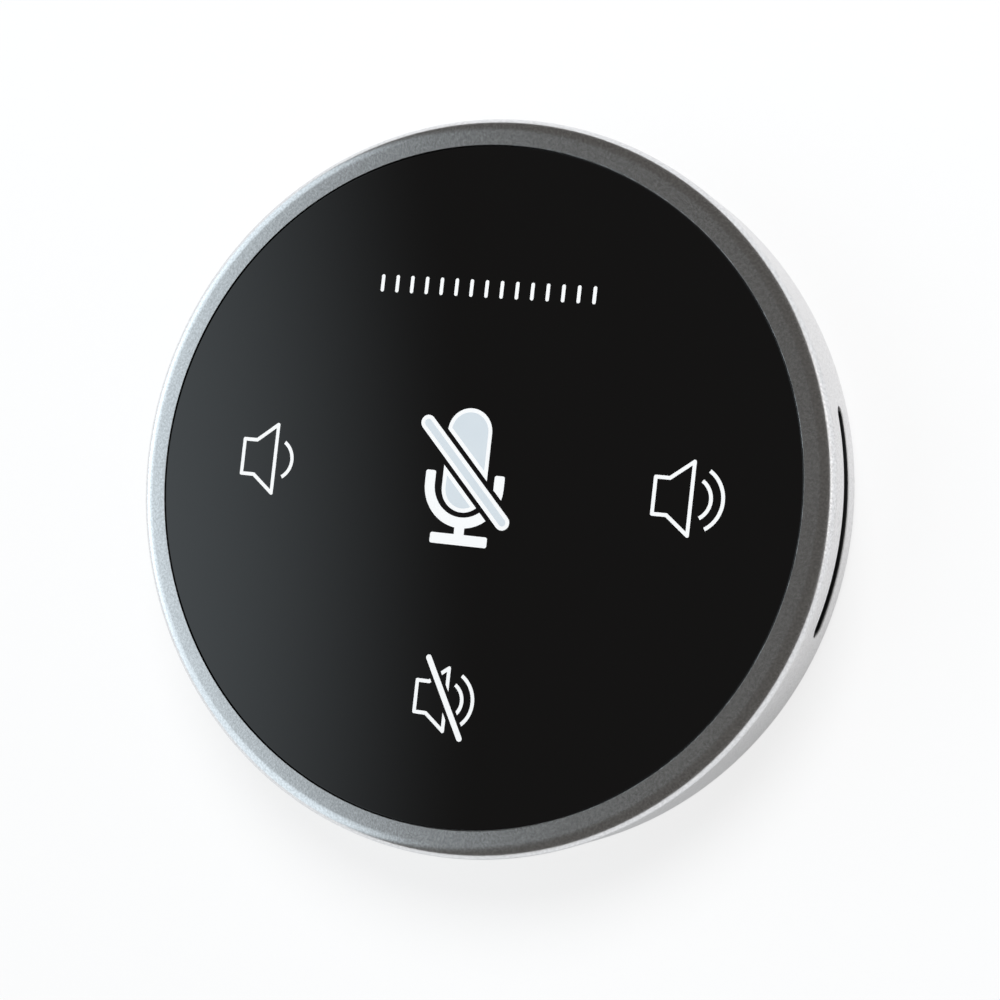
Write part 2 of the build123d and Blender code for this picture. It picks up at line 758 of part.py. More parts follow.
# --- Bottom cover, with standoffs, countersunk holes, foot groove and a bare label recess ---
cover_radius = inner_radius + cover_rebate - cover_gap
foot_outer = cover_radius - foot_inset
foot_inner = foot_outer - foot_width
with BuildPart() as bottom_cover:
    with BuildSketch(Plane.XY.offset(housing_base)):
        Circle(cover_radius)
    extrude(amount=cover_thickness)
    with BuildSketch(Plane.XY.offset(cover_top)):
        with PolarLocations(standoff_reach, boss_count, start_angle=boss_start):
            Circle(standoff_radius)
    extrude(amount=standoff_height)
    with BuildSketch(Plane.XY.offset(board_base)):
        with PolarLocations(standoff_reach, boss_count, start_angle=boss_start):
            Circle(board_screw_radius + thread_gap)
    extrude(amount=-(standoff_height + hole_extra_depth), mode=Mode.SUBTRACT)
    with BuildSketch(Plane.XY.offset(housing_base)):
        Circle(foot_outer + foot_gap)
        Circle(foot_inner - foot_gap, mode=Mode.SUBTRACT)
    extrude(amount=foot_groove_depth, mode=Mode.SUBTRACT)
    with BuildSketch(Plane.XY.offset(housing_base)):
        RectangleRounded(label_length, label_width, label_corner)
    extrude(amount=label_depth, mode=Mode.SUBTRACT)
    with Locations((0, 0, housing_base)):
        with PolarLocations(boss_ring, boss_count, start_angle=boss_start):
            Cylinder(
                screw_radius + screw_seat_gap, cover_thickness, align=standing, mode=Mode.SUBTRACT
            )
            Cone(
                screw_head_radius + screw_seat_gap,
                screw_radius + screw_seat_gap,
                screw_head_height,
                align=standing,
                mode=Mode.SUBTRACT,
            )
bottom_cover.part.label = "bottom_cover"
export_step(bottom_cover.part, "parts/bottom_cover.step")

# --- Rubber foot ring, bonded into its groove ---
with BuildPart() as foot_ring:
    with BuildSketch():
        Circle(foot_outer)
        Circle(foot_inner, mode=Mode.SUBTRACT)
    extrude(amount=foot_stand + foot_groove_depth)
    fillet(foot_ring.edges().group_by(Axis.Z)[0], foot_edge)
foot_ring.part.label = "foot_ring"
export_step(foot_ring.part, "parts/foot_ring.step")

# --- Countersunk screws that hold the cover to the bosses ---
with BuildPart() as bottom_screw:
    with Locations((0, 0, housing_base)):
        Cylinder(screw_radius, screw_length, align=standing)
        Cone(screw_head_radius, screw_radius, screw_head_height, align=standing)
    with BuildSketch(Plane.XY.offset(housing_base)):
        cross(screw_head_radius)
    extrude(amount=recess_depth, mode=Mode.SUBTRACT)
with BuildPart() as bottom_screws:
    with PolarLocations(boss_ring, boss_count, start_angle=boss_start):
        add(bottom_screw.part)
bottom_screws.part.label = "bottom_screws"
export_step(bottom_screws.part, "parts/bottom_screws.step")

# --- Screws that hold the main board to the standoffs ---
board_screw = pan_screw(
    board_top,
    board_base - board_screw_grip,
    board_top + board_screw_head_height,
    board_screw_radius,
    board_screw_head_radius,
)
with BuildPart() as main_board_screws:
    with PolarLocations(standoff_reach, boss_count, start_angle=boss_start):
        add(board_screw)
main_board_screws.part.label = "main_board_screws"
export_step(main_board_screws.part, "parts/main_board_screws.step")
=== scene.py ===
import json
from math import asin, cos, pi, radians, sin

import bmesh
import bpy
from mathutils import Matrix, Vector


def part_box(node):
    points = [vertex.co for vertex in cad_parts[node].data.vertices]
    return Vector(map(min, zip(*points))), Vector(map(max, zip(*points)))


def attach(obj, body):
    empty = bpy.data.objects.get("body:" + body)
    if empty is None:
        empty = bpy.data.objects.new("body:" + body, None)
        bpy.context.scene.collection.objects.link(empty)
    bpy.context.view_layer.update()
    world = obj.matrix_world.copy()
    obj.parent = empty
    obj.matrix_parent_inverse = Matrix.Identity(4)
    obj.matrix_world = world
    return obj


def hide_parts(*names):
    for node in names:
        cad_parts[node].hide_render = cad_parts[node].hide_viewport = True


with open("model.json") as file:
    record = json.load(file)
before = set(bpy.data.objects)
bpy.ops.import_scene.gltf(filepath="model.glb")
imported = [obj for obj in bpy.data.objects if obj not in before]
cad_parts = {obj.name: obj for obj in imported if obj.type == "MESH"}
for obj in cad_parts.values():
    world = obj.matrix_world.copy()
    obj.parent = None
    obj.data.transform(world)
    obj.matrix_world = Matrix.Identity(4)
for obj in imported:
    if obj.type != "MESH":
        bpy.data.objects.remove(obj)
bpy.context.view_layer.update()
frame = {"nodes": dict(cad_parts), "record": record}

MM = 0.001
scene = bpy.context.scene

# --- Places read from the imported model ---
housing_low, housing_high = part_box("housing_ring")
glass_low, glass_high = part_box("touch_glass")
tape_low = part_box("glass_tape")[0]
foot_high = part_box("foot_ring")[1]
screen_low, screen_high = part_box("acoustic_mesh_right")
boot_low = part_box("mic_boot_right")[0]
usb_low, usb_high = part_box("usb_shell")
screws_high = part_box("bottom_screws")[1]
outer_radius = housing_high.x
glass_radius = glass_high.x
glass_top = glass_high.z

# --- Sizes of the housing ring ---
rim_width = 3.9 * MM
rim_edge_radius = 2.0 * MM
base_edge_radius = 0.4 * MM
pocket_edge = 0.03 * MM
wall = 2.0 * MM
cover_rebate = 0.3 * MM
ledge_width = 3.6 * MM
ledge_thickness = 1.8 * MM
boss_turns = (45, 135, 225, 315)  # degrees
boss_radius = 3.0 * MM
boss_hole_radius = 1.3 * MM
boss_hole_depth = 5.1 * MM
screw_head_radius = 2.35 * MM
slot_length = 30.0 * MM
slot_height = 3.2 * MM
slot_edge = 0.1 * MM
usb_gap = 0.3 * MM

# --- Sizes of the glass, the woven screens and the foot ring ---
glass_edge = 0.15 * MM
weave_pitch = 0.42 * MM
weave_wire_radius = 0.07 * MM
weave_reach = 2.2 * weave_wire_radius  # from the middle of the cloth to its outer face
foot_width = 6.0 * MM
foot_edge = 0.5 * MM
grip_depth = 0.15 * MM
grip_width = 0.5 * MM
grip_places = (0.3, 0.5, 0.7)  # shares of the foot's width

# --- Places of the marks on the glass ---
key_inset = 15.0 * MM
key_lift = 1.0 * MM
volume_down_shift = 2.1 * MM
volume_up_shift = 0.45 * MM
mute_key_inset = 17.0 * MM
mute_key_shift = (0.7 * MM, 0.1 * MM)
scale_inset = 19.5 * MM
scale_ticks = 15
scale_pitch = 2.2 * MM
print_height = 0.015 * MM
print_sink = 0.02 * MM

# --- Sizes of the marks, in millimetres about each mark's own middle ---
mark_line = 0.5
scale_tick_length = 2.4
speaker_back = -5.0
speaker_shoulder = -3.07
speaker_half_back = 2.42
speaker_half_mouth = 4.8
sound_middle = (-0.2, 0)
sound_turn = 58  # degrees to each side
volume_down_arcs = (2.85,)
volume_up_arcs = (2.85, 4.45)
mute_key_arcs = (2.85, 4.6)
mute_key_size = 0.88  # of the volume keys' speaker
mute_key_slash = ((-3.1, 5.3), (2.5, -4.9))
mute_key_slash_width = 0.8
mute_key_slash_gap = 0.5
microphone_line = 1.45
microphone_corner = 0.3
microphone_axis = -0.1
pill_width = 6.4
pill_ends = (7.1, -0.6)
yoke_radius = 5.0
yoke_middle = -0.2
yoke_ends = (-0.4, 1.55)
stem_ends = (-5.0, -7.3)
stand_half = 4.15
stand_height = -7.5
microphone_slash = ((-6.3, 7.9), (5.9, -4.6))
microphone_slash_width = 2.1
microphone_slash_gap = 0.65
core_inset = 0.55

# --- How finely shapes are made; angles in degrees ---
ring_facets = 720
foot_facets = 360
boss_facets = 48
slot_round_steps = 16
slot_straight_steps = 24
stroke_end_steps = 10
pill_end_steps = 24
arc_steps = 40
wire_facets = 5
wire_points = 4  # on each pitch of the weave
seam_weld = 1e-6
copy_weld = 1e-7
cut_margin = 1.0 * MM  # how far a cutter reaches past what it cuts
boss_sink = 0.1 * MM  # how far a boss reaches into the ledge that it is joined to
crisp_angle = 30
wire_crisp_angle = 50
flat_angle = 0.5


# --- Small tools ---
def linear(colour):
    """Turns an sRGB hex colour such as "#C8CACD" into linear red, green, blue and alpha."""
    parts = [int(colour[i : i + 2], 16) / 255 for i in (1, 3, 5)]
    return [c / 12.92 if c <= 0.04045 else ((c + 0.055) / 1.055) ** 2.4 for c in parts] + [1.0]


def add_node(tree, kind, inputs=(), **settings):
    """Adds a node with its settings, and sets or links each input by name or number."""
    made = tree.nodes.new(kind)
    for name, value in settings.items():
        setattr(made, name, value)
    for name, value in dict(inputs).items():
        if isinstance(value, bpy.types.NodeSocket):
            tree.links.new(value, made.inputs[name])
        else:
            made.inputs[name].default_value = value
    return made


def start_tree(name, inputs, result):
    """Starts a Geometry Nodes tree with these named inputs and one named result, and returns it
    with its input sockets."""
    tree = bpy.data.node_groups.new(name, "GeometryNodeTree")
    for label, kind in inputs.items():
        tree.interface.new_socket(label, in_out="INPUT", socket_type=f"NodeSocket{kind}")
    tree.interface.new_socket(result, in_out="OUTPUT", socket_type="NodeSocketGeometry")
    return tree, add_node(tree, "NodeGroupInput").outputs


def end_tree(tree, shape, finish, result):
    """Ends a tree: makes its instances real, gives them their finish and hands out the result."""
    real = add_node(tree, "GeometryNodeRealizeInstances", {"Geometry": shape}).outputs[0]
    finished = add_node(tree, "GeometryNodeSetMaterial", {"Geometry": real, "Material": finish})
    add_node(tree, "NodeGroupOutput", {result: finished.outputs[0]})


def turn_outwards(bm):
    """Turns every face of a closed mesh outwards and drops edges that carry no face."""
    bare = [edge for edge in bm.edges if not edge.link_faces]
    bmesh.ops.delete(bm, geom=bare, context="EDGES")
    bmesh.ops.recalc_face_normals(bm, faces=bm.faces)
    if bm.calc_volume(signed=True) < 0:
        bmesh.ops.reverse_faces(bm, faces=bm.faces)


def new_piece(name, bm, material=None):
    """Makes a bmesh an object of the scene, with its faces turned outwards."""
    turn_outwards(bm)
    mesh = bpy.data.meshes.new(name)
    bm.to_mesh(mesh)
    bm.free()
    piece = bpy.data.objects.new(name, mesh)
    scene.collection.objects.link(piece)
    if material:
        mesh.materials.append(material)
    return piece


def bake_modifiers(piece):
    """Turns a piece with live modifiers into a plain mesh."""
    graph = bpy.context.evaluated_depsgraph_get()
    mesh = bpy.data.meshes.new_from_object(piece.evaluated_get(graph), depsgraph=graph)
    piece.modifiers.clear()
    piece.data = mesh


def run_tree(piece, tree, values):
    """Runs a Geometry Nodes tree on a piece with these named inputs, and keeps the plain result."""
    modifier = piece.modifiers.new(tree.name, "NODES")
    modifier.node_group = tree
    for item in tree.interface.items_tree:
        if item.in_out == "INPUT" and item.name in values:
            modifier[item.identifier] = values[item.name]
    bake_modifiers(piece)


def cut(piece, cutter, operation="DIFFERENCE", own_overlaps=False):
    """Cuts one closed mesh from another, or joins it to it, and removes the cutter."""
    modifier = piece.modifiers.new("cut", "BOOLEAN")
    modifier.object = cutter
    modifier.operation = operation
    modifier.solver = "EXACT"
    modifier.use_self = own_overlaps
    bake_modifiers(piece)
    bpy.data.objects.remove(cutter)


def smooth(piece, angle=crisp_angle):
    """Shades a piece smooth, with every edge sharper than the angle kept crisp and every large
    face kept truly flat up to its rounded edges."""
    piece.data.shade_smooth()
    piece.data.set_sharp_from_angle(angle=radians(angle))
    modifier = piece.modifiers.new("flat_faces", "WEIGHTED_NORMAL")
    modifier.keep_sharp = True
    bake_modifiers(piece)


def settle(piece, slot, *nodes):
    """Hides the CAD nodes that a finished piece stands for and attaches the piece to the root body.
    The slot is not used.
    """
    if nodes:
        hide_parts(*nodes)
    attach(piece, "root")


# --- Camera ---
pocket_radius = outer_radius - rim_width
view_from = Vector((2.2217, -0.2005, 5.3929)) * pocket_radius
view_to = Vector((0.1144, -0.0348, 0.0)) * pocket_radius
view_roll = 6.34
lens_length = 72.15
film_width = 36.0


def add_camera():
    """Stands the camera high over the right side of the puck, rolled a little to the left."""
    camera = bpy.data.objects.new("camera", bpy.data.cameras.new("camera"))
    scene.collection.objects.link(camera)
    glass_centre = Vector((0, 0, glass_top))
    forward = (view_to - view_from).normalized()
    level_right = forward.cross(Vector((0, 1, 0))).normalized()
    level_up = level_right.cross(forward)
    turn = Matrix.Rotation(radians(-view_roll), 3, forward)
    right, up = turn @ level_right, turn @ level_up
    axes = Matrix((right, up, -forward)).transposed().to_4x4()
    camera.matrix_world = Matrix.Translation(view_from + glass_centre) @ axes
    camera.data.lens = lens_length
    camera.data.sensor_width = film_width
    camera.data.clip_start = 10 * MM
    scene.camera = camera


add_camera()


# --- Materials: one function for each finish; patterns are as large as they are on the object ---
def start_material(name):
    """Returns a new material, its tree, its Principled node and the Object coordinates."""
    material = bpy.data.materials.new(name)
    material.use_nodes = True
    tree = material.node_tree
    place = add_node(tree, "ShaderNodeTexCoord").outputs["Object"]
    return material, tree, tree.nodes["Principled BSDF"], place


def per_mm(size):
    """Returns the scale of a noise or cell pattern whose grain measures this many millimetres."""
    return 1 / (size * MM)


def dress(tree, shader, tone, colours, shine, roughness, relief=None, depth=0.0):
    """Dresses a surface by 0 to 1 patterns: the tone runs between two hex colours, the shine
    between two roughness values, and the relief raises the surface by a depth in millimetres."""
    inputs = {0: tone, 6: linear(colours[0]), 7: linear(colours[1])}
    colour = add_node(tree, "ShaderNodeMix", inputs, data_type="RGBA")
    tree.links.new(colour.outputs[2], shader.inputs["Base Color"])
    inputs = {"Value": shine, "To Min": roughness[0], "To Max": roughness[1]}
    rough = add_node(tree, "ShaderNodeMapRange", inputs)
    tree.links.new(rough.outputs["Result"], shader.inputs["Roughness"])
    if relief is not None:
        bump = add_node(tree, "ShaderNodeBump", {"Height": relief, "Distance": depth * MM})
        tree.links.new(bump.outputs["Normal"], shader.inputs["Normal"])


def blasted_aluminium():
    """Turned aluminium, glass-bead blasted and clear anodised: an even pale grey metal whose fine
    pits spread each reflection into a soft sheen, with a slight sparkle from pit to pit. The pits
    are drawn coarser than real ones, so that they show."""
    material, tree, shader, place = start_material("blasted_anodised_aluminium")
    inputs = {"Vector": place, "Scale": per_mm(0.24), "Detail": 3.0}
    pits = add_node(tree, "ShaderNodeTexNoise", inputs).outputs["Fac"]
    inputs = {"Vector": place, "Scale": per_mm(0.33), "Detail": 3.0}
    sparkle = add_node(tree, "ShaderNodeTexNoise", inputs).outputs["Fac"]
    inputs = {"Value": sparkle, "From Min": 0.35, "From Max": 0.65}
    sparkle = add_node(tree, "ShaderNodeMapRange", inputs).outputs["Result"]
    inputs = {"Vector": place, "Scale": per_mm(9.0), "Detail": 2.0}
    patches = add_node(tree, "ShaderNodeTexNoise", inputs).outputs["Fac"]
    shader.inputs["Metallic"].default_value = 1.0
    colours = ("#D8D8D9", "#EEEEEF")
    dress(tree, shader, sparkle, colours, patches, (0.2, 0.23), pits, depth=0.006)
    return material


def back_printed_glass():
    """Cover glass printed black on its back: it reads as polished black, and only the faintest
    wiping marks change how sharp its reflections are."""
    material, tree, shader, place = start_material("back_printed_glass")
    inputs = {"Vector": place, "Scale": per_mm(14.0), "Detail": 4.0}
    wipes = add_node(tree, "ShaderNodeTexNoise", inputs).outputs["Fac"]
    shader.inputs["IOR"].default_value = 1.68
    dress(tree, shader, wipes, ("#020203", "#030304"), wipes, (0.02, 0.05))
    return material


def lit_window(name, dark, light, glow):
    """Milky diffuser seen through a window in the print, lit from behind: almost even white, a
    little weaker where it is far from a lamp."""
    material, tree, shader, place = start_material(name)
    inputs = {"Vector": place, "Scale": per_mm(3.0), "Detail": 2.0}
    cloud = add_node(tree, "ShaderNodeTexNoise", inputs).outputs["Fac"]
    inputs = {0: cloud, 6: linear(dark), 7: linear(light)}
    colour = add_node(tree, "ShaderNodeMix", inputs, data_type="RGBA").outputs[2]
    for lit in ("Base Color", "Emission Color"):
        tree.links.new(colour, shader.inputs[lit])
    shader.inputs["Emission Strength"].default_value = glow
    shader.inputs["Roughness"].default_value = 0.35
    return material


def silicone_rubber():
    """Moulded silicone rubber: deep grey-black and matt, with a fine satin texture of the mould."""
    material, tree, shader, place = start_material("silicone_rubber")
    inputs = {"Vector": place, "Scale": per_mm(0.25), "Detail": 4.0}
    grain = add_node(tree, "ShaderNodeTexNoise", inputs).outputs["Fac"]
    inputs = {"Vector": place, "Scale": per_mm(6.0), "Detail": 3.0}
    dust = add_node(tree, "ShaderNodeTexNoise", inputs).outputs["Fac"]
    dress(tree, shader, dust, ("#1B1C1D", "#242526"), grain, (0.62, 0.8), grain, depth=0.02)
    return material


def textured_abs():
    """Injection-moulded ABS from a spark-eroded mould: dark grey with a fine pebbled grain."""
    material, tree, shader, place = start_material("textured_abs")
    inputs = {"Vector": place, "Scale": per_mm(0.35)}
    pebbles = add_node(tree, "ShaderNodeTexVoronoi", inputs).outputs["Distance"]
    inputs = {"Vector": place, "Scale": per_mm(20.0), "Detail": 2.0}
    flow = add_node(tree, "ShaderNodeTexNoise", inputs).outputs["Fac"]
    dress(tree, shader, flow, ("#222325", "#2A2B2D"), pebbles, (0.42, 0.6), pebbles, depth=0.03)
    return material


def drawn_metal(name, dark, light, rough):
    """Rolled or plated metal: a cool or golden sheen with faint drawing lines along one direction."""
    material, tree, shader, place = start_material(name)
    stretch = add_node(tree, "ShaderNodeMapping", {"Vector": place, "Scale": (1, 1, 8)})
    inputs = {"Vector": stretch.outputs["Vector"], "Scale": per_mm(0.4), "Detail": 3.0}
    lines = add_node(tree, "ShaderNodeTexNoise", inputs).outputs["Fac"]
    shader.inputs["Metallic"].default_value = 1.0
    dress(tree, shader, lines, (dark, light), lines, (rough, rough + 0.12), lines, depth=0.004)
    return material


def moulded(name, dark, light, rough, grain_size=0.3):
    """Moulded or cast part with a fine even grain and slight changes of tone."""
    material, tree, shader, place = start_material(name)
    inputs = {"Vector": place, "Scale": per_mm(grain_size), "Detail": 3.0}
    grain = add_node(tree, "ShaderNodeTexNoise", inputs).outputs["Fac"]
    dress(tree, shader, grain, (dark, light), grain, (rough, rough + 0.1), grain, depth=0.01)
    return material


def solder_mask():
    """Glass-epoxy board under green solder mask: glossy green, paler where copper tracks about
    0.3 mm wide run beneath it."""
    material, tree, shader, place = start_material("solder_mask_board")
    inputs = {
        "Vector": place,
        "Scale": per_mm(4.0),
        "Mortar Size": 0.04,
        "Color1": linear("#0B5A33"),
        "Color2": linear("#0D6139"),
        "Mortar": linear("#1C7F4C"),
    }
    tracks = add_node(tree, "ShaderNodeTexBrick", inputs).outputs
    inputs = {"Vector": place, "Scale": per_mm(0.4), "Detail": 2.0}
    weave = add_node(tree, "ShaderNodeTexNoise", inputs).outputs["Fac"]
    inputs = {"Value": weave, "To Min": 0.22, "To Max": 0.34}
    rough = add_node(tree, "ShaderNodeMapRange", inputs).outputs["Result"]
    bump = add_node(tree, "ShaderNodeBump", {"Height": tracks["Fac"], "Distance": 0.02 * MM})
    tree.links.new(tracks["Color"], shader.inputs["Base Color"])
    tree.links.new(rough, shader.inputs["Roughness"])
    tree.links.new(bump.outputs["Normal"], shader.inputs["Normal"])
    return material


def seen_by_eye(tree, rays):
    """Returns 1 for a ray that comes from the eye, straight or through glass, and 0 for others."""
    inputs = {0: rays["Is Camera Ray"], 1: rays["Is Transmission Ray"]}
    return add_node(tree, "ShaderNodeMath", inputs, operation="MAXIMUM").outputs[0]


seen_glow = 0.8
mirrored_glow = 0.36
floor_fade = (0.1, 0.5)  # the sweep turns plain white between these distances from the object


def studio_floor():
    """Pale matt sweep: near white to the eye and in reflections, and it keeps soft shadows. Far from
    the object it turns plain white."""
    material, tree, shader, place = start_material("pale_studio_floor")
    rays = add_node(tree, "ShaderNodeLightPath").outputs
    seen, mirrored = seen_by_eye(tree, rays), rays["Is Glossy Ray"]
    either = add_node(tree, "ShaderNodeMath", {0: seen, 1: mirrored}, operation="MAXIMUM").outputs[0]
    reach = add_node(tree, "ShaderNodeVectorMath", {0: place}, operation="LENGTH")
    inputs = {"Value": reach.outputs["Value"], "From Min": floor_fade[0], "From Max": floor_fade[1]}
    far = add_node(tree, "ShaderNodeMapRange", inputs, interpolation_type="SMOOTHSTEP")
    inputs = {0: far.outputs["Result"], 1: either}
    far = add_node(tree, "ShaderNodeMath", inputs, operation="MULTIPLY").outputs[0]
    inputs = {"Vector": place, "Scale": per_mm(2.0), "Detail": 2.0}
    paper = add_node(tree, "ShaderNodeTexNoise", inputs).outputs["Fac"]
    inputs = {0: paper, 6: linear("#E4E4E4"), 7: linear("#E6E6E6")}
    tone = add_node(tree, "ShaderNodeMix", inputs, data_type="RGBA").outputs[2]
    glow = 0.0
    for share, dark, light, level in (
        (mirrored, "#D2D2D3", "#D5D5D6", mirrored_glow),
        (seen, "#7C7D7E", "#7E7F80", seen_glow),
        (far, "#000000", "#000000", 1.0),
    ):
        inputs = {0: paper, 6: linear(dark), 7: linear(light)}
        shade = add_node(tree, "ShaderNodeMix", inputs, data_type="RGBA").outputs[2]
        inputs = {0: share, 6: tone, 7: shade}
        tone = add_node(tree, "ShaderNodeMix", inputs, data_type="RGBA").outputs[2]
        inputs = {0: share, 2: glow, 3: level}
        glow = add_node(tree, "ShaderNodeMix", inputs, data_type="FLOAT").outputs[0]
    tree.links.new(tone, shader.inputs["Base Color"])
    tree.links.new(glow, shader.inputs["Emission Strength"])
    shader.inputs["Emission Color"].default_value = linear("#FFFFFF")
    shader.inputs["Roughness"].default_value = 0.9
    shader.inputs["Specular IOR Level"].default_value = 0.0
    return material


aluminium = blasted_aluminium()
glass = back_printed_glass()
lit_edge = lit_window("lit_window_edge", "#FAFBFC", "#FFFFFF", glow=0.08)
lit_core = lit_window("lit_window_core", "#DCE5EC", "#E1E9EF", glow=0.02)
rubber = silicone_rubber()
abs_plastic = textured_abs()
finishes = {
    "housing": aluminium,
    "glass": glass,
    "print": moulded("screen_print_black", "#08080A", "#0C0C0E", rough=0.3),
    "tape": moulded("acrylic_foam_tape", "#141414", "#1C1C1C", rough=0.8, grain_size=0.15),
    "film": moulded("polyester_electrode_film", "#AEB9BF", "#C4CED3", rough=0.15, grain_size=1.5),
    "baffle": moulded("black_abs_baffle", "#101011", "#161617", rough=0.5),
    "diffuser": moulded("milky_acrylic", "#E6E9EB", "#F2F4F5", rough=0.35, grain_size=1.0),
    "board": solder_mask(),
    "lamp": moulded("lamp_lens_resin", "#E8E2BE", "#F3EED2", rough=0.2),
    "chip": moulded("moulded_epoxy", "#161718", "#1F2021", rough=0.55, grain_size=0.12),
    "screw": drawn_metal("zinc_plated_steel", "#9A9CA0", "#B9BBBF", rough=0.28),
    "connector": moulded("black_nylon", "#121213", "#1A1A1B", rough=0.45),
    "contact": drawn_metal("gold_plated_contact", "#C79B3B", "#E2BE63", rough=0.18),
    "capacitor": moulded("fired_ceramic", "#8C7150", "#A5875F", rough=0.5, grain_size=0.2),
    "shell": drawn_metal("drawn_steel_shell", "#B4B5B7", "#CFD0D2", rough=0.22),
    "capsule": drawn_metal("drawn_aluminium_can", "#BFC1C3", "#D3D5D7", rough=0.3),
    "lead": drawn_metal("tinned_wire", "#B5B5B0", "#CBCBC6", rough=0.3),
    "rubber": rubber,
    "screen": drawn_metal("blackened_steel_wire", "#202122", "#2E2F31", rough=0.45),
    "cover": abs_plastic,
}
for entry in frame["record"]["subparts"]:
    node = frame["nodes"][entry["node"]]
    for material_slot in node.material_slots:
        material_slot.material = finishes[entry["material_slot"]]


# --- Turned parts: one tree turns any closed outline round the Z axis ---
def turned_tree():
    """Builds the tree that turns an outline of (radius, 0, height) points round the Z axis."""
    inputs = {"Outline": "Geometry", "Points": "Int", "Facets": "Int", "Finish": "Material"}
    tree, given = start_tree("turned_part", inputs, "Part")
    rows = add_node(tree, "ShaderNodeMath", {0: given["Points"], 1: 1}, operation="ADD").outputs[0]
    columns = add_node(tree, "ShaderNodeMath", {0: given["Facets"], 1: 1}, operation="ADD").outputs[0]
    grid = add_node(tree, "GeometryNodeMeshGrid", {"Vertices X": columns, "Vertices Y": rows})
    index = add_node(tree, "GeometryNodeInputIndex").outputs[0]
    row = index
    for count in (rows, given["Points"]):
        row = add_node(tree, "ShaderNodeMath", {0: row, 1: count}, operation="MODULO").outputs[0]
    angle = index
    for operation, second in (
        ("DIVIDE", rows),
        ("FLOOR", 0.0),
        ("DIVIDE", given["Facets"]),
        ("MULTIPLY", 2 * pi),
    ):
        angle = add_node(tree, "ShaderNodeMath", {0: angle, 1: second}, operation=operation).outputs[0]
    place = add_node(tree, "GeometryNodeInputPosition").outputs[0]
    inputs = {"Geometry": given["Outline"], "Value": place, "Index": row}
    point = add_node(tree, "GeometryNodeSampleIndex", inputs, data_type="FLOAT_VECTOR").outputs[0]
    inputs = {"Vector": point, "Angle": angle}
    turned = add_node(tree, "ShaderNodeVectorRotate", inputs, rotation_type="Z_AXIS").outputs[0]
    inputs = {"Geometry": grid.outputs["Mesh"], "Position": turned}
    placed = add_node(tree, "GeometryNodeSetPosition", inputs).outputs[0]
    inputs = {"Geometry": placed, "Distance": seam_weld}
    welded = add_node(tree, "GeometryNodeMergeByDistance", inputs).outputs[0]
    end_tree(tree, welded, given["Finish"], "Part")
    return tree


turning = turned_tree()


def turned_piece(name, outline, material, facets=ring_facets):
    """Returns a piece turned from a closed outline of (radius, height) points."""
    bm = bmesh.new()
    for radius, height in outline:
        bm.verts.new((radius, 0, height))
    piece = new_piece(name, bm)
    run_tree(piece, turning, {"Points": len(outline), "Facets": facets, "Finish": material})
    bm = bmesh.new()
    bm.from_mesh(piece.data)
    turn_outwards(bm)
    bm.to_mesh(piece.data)
    bm.free()
    return piece


def corner(middle_x, middle_z, radius, start, end, steps):
    """Returns the points of a round corner, its angles in degrees from the radial direction."""
    turns = [radians(start + (end - start) * i / steps) for i in range(steps + 1)]
    return [(middle_x + radius * cos(t), middle_z + radius * sin(t)) for t in turns]


# --- Housing ring ---
inner_radius = outer_radius - wall
ledge_radius = pocket_radius - ledge_width
ledge_top = tape_low.z
ledge_base = ledge_top - ledge_thickness
rim_top = housing_high.z
rim_base = housing_low.z
cover_seat = boot_low.z  # the boots, the ring and its bosses all stand on the bottom cover
boss_ring = (screws_high.x - screw_head_radius) / cos(radians(boss_turns[0]))


def slot_outline(length, height, middle, grow):
    """Returns the (across, up) outline of a slot with round ends, grown by a margin."""
    radius = height / 2 + grow
    reach = length / 2 - height / 2
    points = []
    for way in (1, -1):
        for i in range(slot_round_steps + 1):
            turn = radians(180 * i / slot_round_steps - 90)
            points.append((way * (reach + radius * cos(turn)), middle + way * radius * sin(turn)))
        for i in range(1, slot_straight_steps):
            share = 1 - 2 * i / slot_straight_steps
            points.append((way * reach * share, middle + way * radius))
    return points


def mouth_cutter(name, length, height, middle, axis):
    """Returns the cutter of a slot through the round wall: its flanks follow the wall, so that
    the chamfer on the outside is equally wide all round."""
    side = Vector((0, 0, 1)).cross(axis)
    inside, outside = ledge_radius - wall, outer_radius + wall
    bm = bmesh.new()
    rings = []
    for radius, reach, grow in (
        (None, inside, 0.0),
        (outer_radius - slot_edge, None, 0.0),
        (outer_radius + slot_edge, None, 2 * slot_edge),
        (None, outside, 2 * slot_edge),
    ):
        ring = []
        for across, up in slot_outline(length, height, middle, grow):
            depth = reach or (radius**2 - across**2) ** 0.5
            ring.append(bm.verts.new(axis * depth + side * across + Vector((0, 0, up))))
        rings.append(ring)
    for low, high in zip(rings, rings[1:]):
        for i in range(len(low)):
            bm.faces.new((low[i - 1], low[i], high[i], high[i - 1]))
    bm.faces.new(rings[0])
    bm.faces.new(rings[-1])
    return new_piece(name, bm)


def upright(name, places, radius, low, high):
    """Returns upright cylinders at these places, as one closed mesh."""
    bm = bmesh.new()
    for x, y in places:
        bmesh.ops.create_cone(
            bm,
            cap_ends=True,
            segments=boss_facets,
            radius1=radius,
            radius2=radius,
            depth=high - low,
            matrix=Matrix.Translation((x, y, (low + high) / 2)),
        )
    return new_piece(name, bm)


